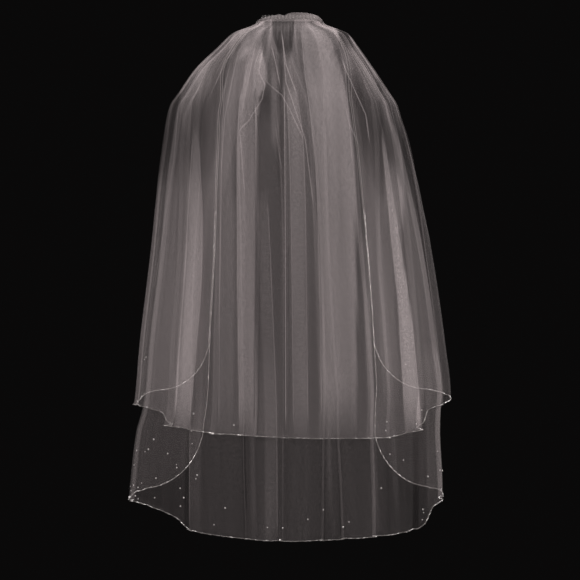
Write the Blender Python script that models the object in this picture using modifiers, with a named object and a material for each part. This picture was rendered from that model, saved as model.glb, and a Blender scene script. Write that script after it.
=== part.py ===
"""A two-tier bridal veil on a comb, worn: gathered tulle that falls over shoulders and opens in front.

Metres, +Z up. The origin is the middle of the comb's spine. The wearer faces +Y, so the back of
the veil is at -Y. Each tier is one cut of tulle: a loft through plan sections, with its folds.
"""

from math import pi

import bmesh
import bpy
import numpy as np
from mathutils import Matrix, Vector

# ---- driving dimensions (m) ----------------------------------------------------------------
CLOTH = 0.001            # thickness of a tulle wall
SEAM_GAP = 0.0003        # clearance between pieces that touch

COMB_LENGTH = 0.100
COMB_HEIGHT = 0.006
COMB_DEPTH = 0.003
COMB_ROUNDING = 0.0009
TOOTH_COUNT = 16
TOOTH_INSET = 0.003      # from the comb's end to the first tooth
TOOTH_LENGTH = 0.038
TOOTH_RADIUS = 0.0009
TOOTH_TAPER = 0.45       # how much thinner its tip is
TOOTH_BEND = 0.006       # how far its tip curves forward
TOOTH_ROOT = 0.0015      # how deep it is set into the spine

BAND_HALF = 0.0575       # half length of the bound gathers
BAND_DEPTH = 0.0078
BAND_BOTTOM = -0.008
BAND_FRONT = -COMB_DEPTH / 2 - SEAM_GAP
BAND_RIDGES = 30         # gathers that show on the binding
BAND_RIDGE = 0.0005      # how proud a gather stands
BAND_SIDES = 9           # points round its top
BAND_FULLNESS = 0.6      # below 1 its top is squarer than a half round

TIER_TOP = BAND_BOTTOM - SEAM_GAP
HEAD_LEVEL = TIER_TOP - 0.0025     # the gathered heads hang straight down to here
SPREAD_LEVEL = -0.030              # where they have opened to the full section
NECK, SHOULDER, WAIST, KNEE = -0.052, -0.160, -0.450, -0.900   # levels that place the folds

# ---- the binding's top line, two soft humps with a notch between them -----------------------
CROWN_COLUMNS = ("along", "top")
CROWN = (
    (-0.0575, -0.0060),
    (-0.0450, -0.0010),
    (-0.0300, 0.0015),
    (-0.0180, 0.0036),
    (-0.0107, 0.0012),
    (-0.0030, 0.0052),
    (0.0090, 0.0071),
    (0.0250, 0.0065),
    (0.0400, 0.0040),
    (0.0500, 0.0010),
    (0.0575, -0.0055),
)

# ---- plan sections -------------------------------------------------------------------------
# A row for each level. Left and right are half-widths, back is how far the cloth stands behind
# the comb, front how far its sides come forward. The bend at -0.158 is the shoulder.
SECTION_COLUMNS = ("level", "left", "right", "back", "front")
SECTIONS = (
    (-0.008, 0.0665, 0.0665, 0.013, 0.011),
    (-0.030, 0.102, 0.102, 0.028, 0.024),
    (-0.052, 0.123, 0.117, 0.045, 0.037),
    (-0.094, 0.166, 0.146, 0.072, 0.054),
    (-0.137, 0.196, 0.174, 0.096, 0.074),
    (-0.158, 0.210, 0.187, 0.106, 0.083),
    (-0.180, 0.215, 0.193, 0.114, 0.089),
    (-0.223, 0.221, 0.2065, 0.127, 0.096),
    (-0.287, 0.230, 0.222, 0.139, 0.101),
    (-0.415, 0.242, 0.249, 0.152, 0.108),
    (-0.586, 0.262, 0.274, 0.174, 0.116),
    (-0.671, 0.269, 0.283, 0.190, 0.120),
    (-0.700, 0.274, 0.280, 0.197, 0.121),
    (-0.735, 0.284, 0.279, 0.206, 0.123),
    (-0.820, 0.294, 0.283, 0.226, 0.127),
    (-0.900, 0.300, 0.284, 0.240, 0.130),
)

# ---- folds ---------------------------------------------------------------------------------
# A row for each fold from the left front edge round the back to the right front edge. Comb is
# where it leaves the comb, as a distance along the gathered head from its middle (mm). Neck,
# shoulder, waist and hem are its places round the section, in degrees from the centre back.
# Half is half its width and proud how far it stands out or in (mm). Lean is how far its crest
# lies over to one side (mm), and start is the level where it fades in (m).
FOLD_COLUMNS = ("name", "comb", "neck", "shoulder", "waist", "hem", "half", "proud", "lean", "start")
UPPER_FOLDS = (
    ("left edge", -66.0, -122, -142, -145, -146, 0, 0, 0, 0.0),
    ("left front", -62.0, -105, -116, -118, -118, 16, 9, -8, -0.12),
    ("left outer", -58.0, -83, -73, -76, -77, 9, 7, -4, -0.10),
    ("left strip", -52.5, -64, -51, -44, -42, 11, 9, -22, -0.11),
    ("left light strip", -44.0, -46, -31, -26, -23, 9, 8, -16, -0.02),
    ("left panel", -28.0, -23, -19, -16, -14, 9, 9, 16, -0.02),
    ("centre line", -11.0, -11, -4, -3, -2.5, 7, 7, 8, -0.02),
    ("centre strip", 3.0, -1, 6, 7, 7.5, 9, 9, 14, -0.03),
    ("right panel", 40.0, 49, 31, 26, 24, 10, 9, 20, -0.02),
    ("right inner strip", 47.0, 58, 46, 34, 33, 8, 7, 12, -0.06),
    ("right strip", 52.0, 70, 60, 49, 46, 10, 9, 15, -0.16),
    ("right outer", 57.5, 86, 83, 70, 68, 8, 7, -5, -0.17),
    ("right front", 62.0, 106, 116, 118, 118, 16, 9, 8, -0.12),
    ("right edge", 66.0, 122, 142, 145, 146, 0, 0, 0, 0.0),
)
LOWER_FOLDS = (
    ("left edge", -57.5, -121, -141, -144, -145, 0, 0, 0, 0.0),
    ("left front", -54.5, -102, -110, -112, -112, 16, -9, 8, -0.12),
    ("left side", -51.0, -80, -80, -80, -78, 12, -8, -6, -0.10),
    ("left knife", -45.0, -58, -46, -40, -34, 10, -9, -14, -0.06),
    ("left inner knife", -32.0, -34, -24, -18, -12, 9, -8, -14, -0.03),
    ("centre knife", -14.0, -14, -9, -5, -4.5, 8, -8, 10, -0.02),
    ("right centre knife", 8.0, 6, 8, 10, 8.5, 9, -8, 16, -0.02),
    ("right inner knife", 27.0, 26, 22, 19, 21.5, 9, -8, -12, -0.03),
    ("right knife", 42.0, 50, 40, 34, 34, 10, -9, -14, -0.06),
    ("right side strip", 47.0, 66, 62, 56, 50, 10, -8, 12, -0.10),
    ("right side", 51.0, 82, 84, 84, 80, 12, -8, 6, -0.10),
    ("right front", 54.5, 102, 110, 112, 112, 16, -9, -8, -0.12),
    ("right edge", 57.5, 121, 141, 144, 145, 0, 0, 0, 0.0),
)
PLACE_NAMES = ("comb", "neck", "shoulder", "waist", "hem")
PLACE_SPREAD = (0.16, 0.26, 0.29, 0.29, 0.29)   # a fold's reach there: mm, then degrees, a mm of half
ROOM_SHARE = 0.42                               # the most of the way to its neighbour that it takes
FOLD_FROM, FOLD_FULL = -0.020, -0.190           # where folds begin to grow, and are full
LEAN_FROM, LEAN_FULL = -0.050, -0.240           # the same for how far they lie over
START_FADE = (0.020, -0.090)                    # a fold fades in between these heights round its start
FOLD_STEPS = (-1.0, -0.55, -0.2, 0.1, 0.42, 0.7, 1.0)   # columns across a fold
GAP_STEP = 9.0                                          # degrees between plain columns

# ---- gathers: between the comb and the shoulders every other column stands out ---------------
GATHER_SHARE = 0.4                   # of the space between columns
GATHER_MOST = 0.0016
GATHER_FULL, GATHER_END = -0.060, -0.190
SEAM_SHARE = 0.5                     # the same in the seam itself
SEAM_MOST = 0.0009
SEAM_FADE = (0.002, 0.008)           # how far before the hook the seam's gathers end, and are full

# ---- the hem's height round the section, in degrees from the centre back --------------------
HEM_COLUMNS = ("place", "upper", "lower")
HEM = (
    (-146, -0.662, -0.834),
    (-112, -0.670, -0.846),
    (-88, -0.685, -0.856),
    (-66, -0.689, -0.853),
    (-53, -0.696, -0.858),
    (-48, -0.711, -0.861),
    (-41, -0.717, -0.868),
    (-34, -0.722, -0.888),
    (0, -0.731, -0.899),
    (34, -0.734, -0.896),
    (52, -0.714, -0.892),
    (57, -0.691, -0.886),
    (64, -0.687, -0.858),
    (88, -0.678, -0.849),
    (112, -0.668, -0.842),
    (146, -0.661, -0.834),
)
CORNER_END = 0.99                    # how much of the corner's quarter circle is cut

# ---- the two tiers -------------------------------------------------------------------------
# line: where the gathered head lies behind the comb. hook: its straight half, and the radius
# that its ends turn forward through. inset: how far inside the sections the cloth hangs, at the
# comb and below the shoulders. corner: the rounded front corners' radius. flutes: soft waves
# round the section, as count, height and phase. rows: the loft's levels, at the centre back.
UPPER_TIER = {
    "folds": UPPER_FOLDS,
    "hem": "upper",
    "line": -0.0076,
    "hook": (0.0550, 0.0048),
    "inset": (0.0, 0.0),
    "corner": 0.085,
    "flutes": (9.0, 0.0025, 0.4),
    "rows": (HEAD_LEVEL, -0.018, SPREAD_LEVEL, -0.050, -0.080, -0.112, -0.140, -0.158, -0.182,
             -0.206, -0.235, -0.310, -0.410, -0.510, -0.610, -0.680),
}
LOWER_TIER = {
    "folds": LOWER_FOLDS,
    "hem": "lower",
    "line": -0.0038,
    "hook": (0.0505, 0.0032),
    "inset": (0.0065, 0.0105),
    "corner": 0.095,
    "flutes": (10.0, 0.0022, 1.9),
    "rows": (HEAD_LEVEL, -0.018, SPREAD_LEVEL, -0.050, -0.080, -0.112, -0.140, -0.158, -0.182,
             -0.230, -0.310, -0.410, -0.520, -0.630, -0.730, -0.820),
}


# ---- curves and tables ---------------------------------------------------------------------
def column(rows, columns, name):
    """One named column of a table."""
    return np.array([row[columns.index(name)] for row in rows], dtype=float)


def curve_through(x, knots, values):
    """A smooth curve through rows of values that never overshoots them. Knots rise."""
    knots = np.asarray(knots, dtype=float)
    values = np.asarray(values, dtype=float)
    step = np.diff(knots)
    slope = np.diff(values, axis=0) / step.reshape((-1,) + (1,) * (values.ndim - 1))
    same_way = slope[:-1] * slope[1:] > 0
    total = np.where(same_way, slope[:-1] + slope[1:], 1.0)
    tangent = np.zeros_like(values)
    tangent[1:-1] = np.where(same_way, 2 * slope[:-1] * slope[1:] / total, 0.0)
    tangent[0], tangent[-1] = slope[0], slope[-1]
    x = np.clip(x, knots[0], knots[-1])
    k = np.clip(np.searchsorted(knots, x, side="right") - 1, 0, len(step) - 1)
    t = (x - knots[k]) / step[k]
    here = (k, np.arange(values.shape[1])) if values.ndim == 2 else (k,)
    after = (k + 1,) + here[1:]
    along = values[here] * (1 + 2 * t) * (1 - t) ** 2 + values[after] * t * t * (3 - 2 * t)
    bend = tangent[here] * t * (1 - t) ** 2 - tangent[after] * t * t * (1 - t)
    return along + bend * step[k]


def ramp(x, start, end):
    """0 at start, 1 at end, smooth between."""
    t = np.clip((x - start) / (end - start), 0.0, 1.0)
    return t * t * (3 - 2 * t)


def section_size(level, name):
    """A size of the plan section at each level."""
    levels = column(SECTIONS, SECTION_COLUMNS, "level")[::-1]
    return curve_through(level, levels, column(SECTIONS, SECTION_COLUMNS, name)[::-1])


def half_sizes(level, angle):
    """The section's half-width and half-depth on the side where each angle lies."""
    width = np.where(angle < 0, section_size(level, "left"), section_size(level, "right"))
    depth = np.where(np.abs(angle) < pi / 2, section_size(level, "back"), section_size(level, "front"))
    return width, depth


def arc_rate(level, angle):
    """How far the section runs for each radian."""
    width, depth = half_sizes(level, angle)
    return np.hypot(width * np.cos(angle), depth * np.sin(angle))


# ---- the cloth -----------------------------------------------------------------------------
def cloth_columns(folds):
    """The loft's columns: their places down the cloth, and the fold that each one crosses."""
    lines = np.stack([column(folds, FOLD_COLUMNS, name) for name in PLACE_NAMES], axis=1)
    half = column(folds, FOLD_COLUMNS, "half")
    room = np.full_like(lines, np.inf)
    room[1:] = np.minimum(room[1:], np.diff(lines, axis=0))
    room[:-1] = np.minimum(room[:-1], np.diff(lines, axis=0))
    reach = np.minimum(half[:, None] * np.array(PLACE_SPREAD), room * ROOM_SHARE)
    waist = PLACE_NAMES.index("waist")
    places, crest, fold = [], [], []
    for k in range(len(folds)):
        for t in FOLD_STEPS if half[k] else (0.0,):
            places.append(lines[k] + t * reach[k])
            crest.append((1 + np.cos(pi * t)) / 2 if half[k] else 0.0)
            fold.append(k)
        if k + 1 == len(folds):
            break
        low, high = places[-1], lines[k + 1] - reach[k + 1]
        plain = max(1, int(round((high[waist] - low[waist]) / GAP_STEP)) - 1)
        for i in range(plain):
            places.append(low + (high - low) * (i + 1) / (plain + 1))
            crest.append(0.0)
            fold.append(k)
    sizes = {name: column(folds, FOLD_COLUMNS, name)[fold] for name in ("proud", "lean", "start")}
    return np.array(places), np.array(crest), sizes


def hem_levels(tier, degrees):
    """The height of the hem at each column, with rounded front corners."""
    places = column(HEM, HEM_COLUMNS, "place")
    level = curve_through(degrees, places, column(HEM, HEM_COLUMNS, tier["hem"]))
    angle = np.radians(degrees)
    rate = arc_rate(level, angle)
    run = np.concatenate([[0.0], np.cumsum((rate[1:] + rate[:-1]) / 2 * np.diff(angle))])
    from_edge = np.minimum(run, run[-1] - run)
    into = np.clip(1 - from_edge / tier["corner"], 0.0, CORNER_END)
    return level + tier["corner"] * (1 - np.sqrt(1 - into ** 2))


def head_curve(tier, along, wave):
    """The gathered head in plan: straight behind the comb, and turned forward round its ends."""
    straight, turn = tier["hook"]
    bend = np.clip(np.abs(along) - straight, 0, None) / turn
    x = np.clip(along, -straight, straight) + np.sign(along) * (turn + wave) * np.sin(bend)
    y = tier["line"] + turn - (turn + wave) * np.cos(bend)
    return np.stack([x, y], axis=1)


def ring_curve(tier, level, angle, out):
    """The open section in plan, moved out from it along its normal."""
    at_comb, below = tier["inset"]
    inset = at_comb + (below - at_comb) * ramp(level, SPREAD_LEVEL, SHOULDER)
    width, depth = (size - inset for size in half_sizes(level, angle))
    normal = np.stack([depth * np.sin(angle), -width * np.cos(angle)], axis=1)
    normal /= np.linalg.norm(normal, axis=1)[:, None]
    return np.stack([width * np.sin(angle), -depth * np.cos(angle)], axis=1) + normal * out[:, None]


def row_points(tier, level, places, crest, sizes):
    """One row of the cloth's mid-surface, at its own level in each column."""
    odd = np.where(np.arange(len(crest)) % 2, 1.0, -1.0)
    along = places[:, 0] * 0.001
    angle = np.radians(curve_through(level, (KNEE, WAIST, SHOULDER, NECK), places[:, :0:-1].T))
    rate = arc_rate(level, angle)
    grown = ramp(level, FOLD_FROM, FOLD_FULL)
    grown = grown * ramp(level, sizes["start"] + START_FADE[0], sizes["start"] + START_FADE[1])
    lean = sizes["lean"] * 0.001 * crest * grown * ramp(level, LEAN_FROM, LEAN_FULL)
    gather = odd * np.clip(GATHER_SHARE * rate * np.gradient(angle), 0.0, GATHER_MOST)
    count, flute, phase = tier["flutes"]
    out = sizes["proud"] * 0.001 * crest * grown + gather * ramp(level, GATHER_END, GATHER_FULL)
    out = out + flute * np.sin(count * angle + phase) * ramp(level, NECK, WAIST)
    ring = ring_curve(tier, level, angle + lean / rate, out)
    seam = odd * np.minimum(SEAM_MOST, SEAM_SHARE * np.gradient(along))
    hook = tier["hook"][0]
    seam = seam * ramp(np.abs(along), hook - SEAM_FADE[0], hook - SEAM_FADE[1])
    head = head_curve(tier, along, seam)
    opened = np.sin(pi / 2 * np.clip((HEAD_LEVEL - level) / (HEAD_LEVEL - SPREAD_LEVEL), 0, 1))
    return np.column_stack([head + (ring - head) * opened[:, None], level])


def tier_points(tier):
    """The tier's mid-surface: an array of rows by columns by 3."""
    places, crest, sizes = cloth_columns(tier["folds"])
    hem = hem_levels(tier, places[:, -1])
    levels = [np.full(len(hem), TIER_TOP)]
    levels += [row + (hem - hem.min()) * ramp(row, SHOULDER, hem.min()) for row in tier["rows"]]
    levels.append(hem)
    return np.array([row_points(tier, level, places, crest, sizes) for level in levels])


# ---- materials and objects -----------------------------------------------------------------
def material(name, color, roughness, metallic=0.0):
    """A plain Principled material."""
    made = bpy.data.materials.new(name)
    made.use_nodes = True
    shader = made.node_tree.nodes["Principled BSDF"]
    shader.inputs["Base Color"].default_value = (*color, 1.0)
    shader.inputs["Roughness"].default_value = roughness
    shader.inputs["Metallic"].default_value = metallic
    made.diffuse_color = (*color, 1.0)
    return made


def add_object(name, mesh, collection, made_of):
    """A named object in the part's collection."""
    piece = bpy.data.objects.new(name, mesh)
    piece.data.materials.append(made_of)
    collection.objects.link(piece)
    return piece


def loft_mesh(name, rings, closed):
    """A mesh through rings of points; closed rings get end caps."""
    bm = bmesh.new()
    grid = [[bm.verts.new(Vector(p)) for p in ring] for ring in rings]
    count = len(grid[0])
    for low, high in zip(grid[:-1], grid[1:]):
        for i in range(count if closed else count - 1):
            j = (i + 1) % count
            bm.faces.new((low[i], high[i], high[j], low[j]))
    if closed:
        bm.faces.new(grid[0])
        bm.faces.new(grid[-1][::-1])
        bmesh.ops.recalc_face_normals(bm, faces=bm.faces)
    bmesh.ops.triangulate(bm, faces=bm.faces)
    mesh = bpy.data.meshes.new(name)
    bm.to_mesh(mesh)
    bm.free()
    return mesh


def build_tier(name, tier, collection, made_of):
    """One cut of tulle: the lofted surface with the cloth's thickness."""
    piece = add_object(name, loft_mesh(name, tier_points(tier), closed=False), collection, made_of)
    wall = piece.modifiers.new("cloth", "SOLIDIFY")
    wall.thickness = CLOTH
    wall.offset = 0.0
    piece.data.shade_smooth()
    return piece


def band_section(along, back, top):
    """A flat-bottomed, round-topped section of the binding."""
    middle, half_depth = (BAND_FRONT + back) / 2, (BAND_FRONT - back) / 2
    height = top - BAND_BOTTOM
    return [(along, middle + half_depth * np.cos(a), BAND_BOTTOM + height * np.sin(a) ** BAND_FULLNESS)
            for a in np.linspace(pi, 0, BAND_SIDES)]


def build_gather_band(collection, made_of):
    """The gathered heads of both tiers, bound into one ruched roll behind the comb's spine."""
    alongs, tops = column(CROWN, CROWN_COLUMNS, "along"), column(CROWN, CROWN_COLUMNS, "top")
    stations = np.linspace(-BAND_HALF, BAND_HALF, BAND_RIDGES * 2 + 1)
    rings = []
    for i, (along, top) in enumerate(zip(stations, curve_through(stations, alongs, tops))):
        ridge = BAND_RIDGE * (-1) ** i
        rings.append(band_section(along, BAND_FRONT - BAND_DEPTH - ridge, top + ridge))
    return add_object("gather_band", loft_mesh("gather_band", rings, closed=True), collection, made_of)


def tooth_mesh(along):
    """A tapered round tooth that curves forward, as its own closed mesh."""
    data = bpy.data.curves.new("tooth", "CURVE")
    data.dimensions = "3D"
    data.bevel_depth = TOOTH_RADIUS
    data.bevel_resolution = 1
    data.use_fill_caps = True
    path = data.splines.new("POLY")
    drops = (0.0, 0.45, 1.0)
    path.points.add(len(drops) - 1)
    root = COMB_HEIGHT / 2 - TOOTH_ROOT
    for point, drop in zip(path.points, drops):
        point.co = (along, TOOTH_BEND * drop ** 2, -root - drop * TOOTH_LENGTH, 1.0)
        point.radius = 1.0 - TOOTH_TAPER * drop
    guide = bpy.data.objects.new("tooth", data)
    bpy.context.scene.collection.objects.link(guide)
    mesh = bpy.data.meshes.new_from_object(guide.evaluated_get(bpy.context.evaluated_depsgraph_get()))
    bpy.data.objects.remove(guide)
    return mesh


def comb_teeth(cutters):
    """All the teeth in one helper object, to be joined to the spine."""
    bm = bmesh.new()
    reach = COMB_LENGTH / 2 - TOOTH_INSET
    for along in np.linspace(-reach, reach, TOOTH_COUNT):
        bm.from_mesh(tooth_mesh(along))
    bmesh.ops.remove_doubles(bm, verts=bm.verts, dist=0.00001)
    bmesh.ops.recalc_face_normals(bm, faces=bm.faces)
    mesh = bpy.data.meshes.new("teeth")
    bm.to_mesh(mesh)
    bm.free()
    teeth = bpy.data.objects.new("teeth", mesh)
    teeth.hide_render = True
    teeth.display_type = "WIRE"
    cutters.objects.link(teeth)
    return teeth


def build_comb(collection, cutters, made_of):
    """The comb: a rounded spine with its teeth joined on."""
    bm = bmesh.new()
    bmesh.ops.create_cube(bm, size=1, matrix=Matrix.Diagonal((COMB_LENGTH, COMB_DEPTH, COMB_HEIGHT, 1.0)))
    mesh = bpy.data.meshes.new("comb")
    bm.to_mesh(mesh)
    bm.free()
    comb = add_object("comb", mesh, collection, made_of)
    edge = comb.modifiers.new("rounded", "BEVEL")
    edge.width = COMB_ROUNDING
    edge.segments = 2
    join = comb.modifiers.new("teeth", "BOOLEAN")
    join.operation = "UNION"
    join.object = comb_teeth(cutters)
    return comb


def clear_scene():
    """Remove what a new file starts with."""
    for piece in list(bpy.data.objects):
        bpy.data.objects.remove(piece, do_unlink=True)


def new_collection(name):
    """A collection in the scene."""
    made = bpy.data.collections.new(name)
    bpy.context.scene.collection.children.link(made)
    return made


def build_veil():
    """All four pieces of the veil."""
    veil = new_collection("bridal veil")
    cutters = new_collection("cutters")
    tulle = material("tulle", (0.80, 0.76, 0.74), 0.9)
    build_comb(veil, cutters, material("comb plastic", (0.72, 0.70, 0.68), 0.35))
    build_gather_band(veil, material("bound tulle", (0.84, 0.80, 0.78), 0.85))
    build_tier("upper_tier", UPPER_TIER, veil, tulle)
    build_tier("lower_tier", LOWER_TIER, veil, tulle)


clear_scene()
build_veil()
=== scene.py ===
from math import pi, radians

import bmesh
import bpy
import numpy as np
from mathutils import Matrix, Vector


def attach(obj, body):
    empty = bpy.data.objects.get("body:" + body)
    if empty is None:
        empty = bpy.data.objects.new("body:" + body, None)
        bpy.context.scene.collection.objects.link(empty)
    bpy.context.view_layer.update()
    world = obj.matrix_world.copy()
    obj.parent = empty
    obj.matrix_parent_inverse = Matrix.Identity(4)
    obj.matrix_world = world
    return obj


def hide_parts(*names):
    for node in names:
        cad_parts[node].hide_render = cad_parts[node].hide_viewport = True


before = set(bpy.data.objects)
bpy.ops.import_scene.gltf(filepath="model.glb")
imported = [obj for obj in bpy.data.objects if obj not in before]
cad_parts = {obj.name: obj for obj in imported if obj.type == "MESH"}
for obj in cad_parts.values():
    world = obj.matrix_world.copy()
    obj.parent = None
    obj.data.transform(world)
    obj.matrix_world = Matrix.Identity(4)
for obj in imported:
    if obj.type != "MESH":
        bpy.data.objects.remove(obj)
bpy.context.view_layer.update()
scene = bpy.context.scene
print("frame loaded:", ", ".join(sorted(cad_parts)))

# Metres, +Z up. The wearer faces +Y, so the back of the veil is at -Y. The comb's spine is at the origin.

studio = {
    "eye": (0.0, -3.0, -0.486),
    "lens": 104.6,
    "floorLevel": -1.60,        # the comb is worn about 1.6 m above the floor
    "floorRadius": 1.6,
    "floorColor": (0.38, 0.37, 0.36),
    "backdropColor": (0.0030, 0.0028, 0.0028),
    "floorSides": 128,
    "floorRoughness": 0.8,
    "aim": (0.0, 0.0, -0.42),
    "farthest": 50.0,
    "layersSeen": 64,           # see-through surfaces that a ray may cross
}
mm = 0.001

# One row for each soft light: place, width, watts, colour
lampColumns = ("name", "place", "width", "watts", "color")
lamps = (
    ("key", (-1.9, -2.7, 0.9), 1.6, 60.0, (1.0, 0.93, 0.92)),
    ("fill", (2.2, -2.4, 0.2), 1.8, 38.0, (1.0, 0.95, 0.93)),
    ("high", (0.2, -0.4, 2.1), 1.4, 30.0, (1.0, 0.94, 0.93)),
    ("frontLeft", (-1.6, 2.6, 0.6), 1.6, 44.0, (1.0, 0.95, 0.94)),
    ("frontRight", (1.8, 2.4, 0.4), 1.6, 44.0, (1.0, 0.95, 0.94)),
)


def column(rows, names, name):
    return np.array([row[names.index(name)] for row in rows], dtype=float)


def ramp(x, start, end):
    t = np.clip((x - start) / (end - start), 0.0, 1.0)
    return t * t * (3 - 2 * t)


def smoothRow(row, wide):
    return np.convolve(np.pad(row, wide // 2, mode="edge"), np.ones(wide) / wide, mode="valid")


# how far along a path each of its points lies
def pathRun(path):
    return np.concatenate([[0.0], np.cumsum(np.linalg.norm(np.diff(path, axis=0), axis=1))])


# a smooth curve through the rows of a table, which never passes their values
def curveThrough(x, knots, values):
    knots = np.asarray(knots, dtype=float)
    values = np.asarray(values, dtype=float)
    step = np.diff(knots)
    slope = np.diff(values, axis=0) / step.reshape((-1,) + (1,) * (values.ndim - 1))
    sameWay = slope[:-1] * slope[1:] > 0
    total = np.where(sameWay, slope[:-1] + slope[1:], 1.0)
    tangent = np.zeros_like(values)
    tangent[1:-1] = np.where(sameWay, 2 * slope[:-1] * slope[1:] / total, 0.0)
    tangent[0], tangent[-1] = slope[0], slope[-1]
    x = np.clip(x, knots[0], knots[-1])
    k = np.clip(np.searchsorted(knots, x, side="right") - 1, 0, len(step) - 1)
    t = (x - knots[k]) / step[k]
    here = (k, np.arange(values.shape[1])) if values.ndim == 2 else (k,)
    after = (k + 1,) + here[1:]
    along = values[here] * (1 + 2 * t) * (1 - t) ** 2 + values[after] * t * t * (3 - 2 * t)
    bend = tangent[here] * t * (1 - t) ** 2 - tangent[after] * t * t * (1 - t)
    return along + bend * step[k]


# the same through a table whose levels run down
def byLevel(level, rows, names, name):
    return curveThrough(level, column(rows, names, "level")[::-1], column(rows, names, name)[::-1])


# The plan sections that both tiers hang on. Left and right are half-widths, back and front half-depths.
sectionColumns = ("level", "left", "right", "back", "front")
sections = (
    (-0.008, 0.0665, 0.0665, 0.013, 0.011),
    (-0.030, 0.102, 0.102, 0.028, 0.024),
    (-0.052, 0.123, 0.117, 0.045, 0.037),
    (-0.094, 0.166, 0.146, 0.072, 0.054),
    (-0.137, 0.196, 0.174, 0.096, 0.074),
    (-0.158, 0.210, 0.187, 0.106, 0.083),
    (-0.180, 0.215, 0.193, 0.114, 0.089),
    (-0.223, 0.221, 0.2065, 0.127, 0.096),
    (-0.287, 0.230, 0.222, 0.139, 0.101),
    (-0.415, 0.242, 0.249, 0.152, 0.108),
    (-0.586, 0.262, 0.274, 0.174, 0.116),
    (-0.671, 0.269, 0.283, 0.190, 0.120),
    (-0.700, 0.274, 0.280, 0.197, 0.121),
    (-0.735, 0.284, 0.279, 0.206, 0.123),
    (-0.820, 0.294, 0.283, 0.226, 0.127),
    (-0.900, 0.300, 0.284, 0.240, 0.130),
)
neck, shoulder, waist, knee = -0.052, -0.160, -0.450, -0.900
placeNames = ("comb", "neck", "shoulder", "waist", "hem")

# Folds from the left front edge round the back to the right one: where each leaves the comb (mm along
# the gathered head), its places in degrees from the centre back, its half width and height (mm), how
# far its crest lies over (mm) and the level where it fades in (m).
foldColumns = ("name", "comb", "neck", "shoulder", "waist", "hem", "half", "proud", "lean", "start")
upperFolds = (
    ("left edge", -66.0, -122, -142, -145, -146, 0, 0, 0, 0.0),
    ("left front", -62.0, -105, -116, -118, -118, 16, 9, -8, -0.12),
    ("left outer", -58.0, -83, -73, -76, -77, 9, 7, -4, -0.10),
    ("left strip", -52.5, -64, -51, -44, -42, 11, 9, -22, -0.11),
    ("left light strip", -44.0, -46, -31, -26, -23, 9, 8, -16, -0.02),
    ("left panel", -28.0, -23, -19, -16, -14, 9, 9, 16, -0.02),
    ("centre line", -11.0, -11, -4, -3, -2.5, 7, 7, 8, -0.02),
    ("centre strip", 3.0, -1, 6, 7, 7.5, 9, 9, 14, -0.03),
    ("right panel", 40.0, 49, 31, 26, 24, 10, 9, 20, -0.02),
    ("right inner strip", 47.0, 58, 46, 34, 33, 8, 7, 12, -0.06),
    ("right strip", 52.0, 70, 60, 49, 46, 10, 9, 15, -0.16),
    ("right outer", 57.5, 86, 83, 70, 68, 8, 7, -5, -0.17),
    ("right front", 62.0, 106, 116, 118, 118, 16, 9, 8, -0.12),
    ("right edge", 66.0, 122, 142, 145, 146, 0, 0, 0, 0.0),
)
lowerFolds = (
    ("left edge", -57.5, -121, -141, -144, -145, 0, 0, 0, 0.0),
    ("left front", -54.5, -102, -110, -112, -112, 16, -9, 8, -0.12),
    ("left side", -51.0, -80, -80, -80, -78, 12, -8, -6, -0.10),
    ("left knife", -45.0, -58, -46, -40, -34, 10, -9, -14, -0.06),
    ("left inner knife", -32.0, -34, -24, -18, -12, 9, -8, -14, -0.03),
    ("centre knife", -14.0, -14, -9, -5, -4.5, 8, -8, 10, -0.02),
    ("right centre knife", 8.0, 6, 8, 10, 8.5, 9, -8, 16, -0.02),
    ("right inner knife", 27.0, 26, 22, 19, 21.5, 9, -8, -12, -0.03),
    ("right knife", 42.0, 50, 40, 34, 34, 10, -9, -14, -0.06),
    ("right side strip", 47.0, 66, 62, 56, 50, 10, -8, 12, -0.10),
    ("right side", 51.0, 82, 84, 84, 80, 12, -8, 6, -0.10),
    ("right front", 54.5, 102, 110, 112, 112, 16, -9, -8, -0.12),
    ("right edge", 57.5, 121, 141, 144, 145, 0, 0, 0, 0.0),
)
placeSpread = (0.16, 0.26, 0.29, 0.29, 0.29)
roomShare = 0.42

hemColumns = ("place", "upper", "lower")
hemTable = (
    (-146, -0.662, -0.834),
    (-112, -0.670, -0.846),
    (-88, -0.685, -0.856),
    (-66, -0.689, -0.853),
    (-53, -0.696, -0.858),
    (-48, -0.711, -0.861),
    (-41, -0.717, -0.868),
    (-34, -0.722, -0.888),
    (0, -0.731, -0.899),
    (34, -0.734, -0.896),
    (52, -0.714, -0.892),
    (57, -0.691, -0.886),
    (64, -0.687, -0.858),
    (88, -0.678, -0.849),
    (112, -0.668, -0.842),
    (146, -0.661, -0.834),
)

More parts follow.
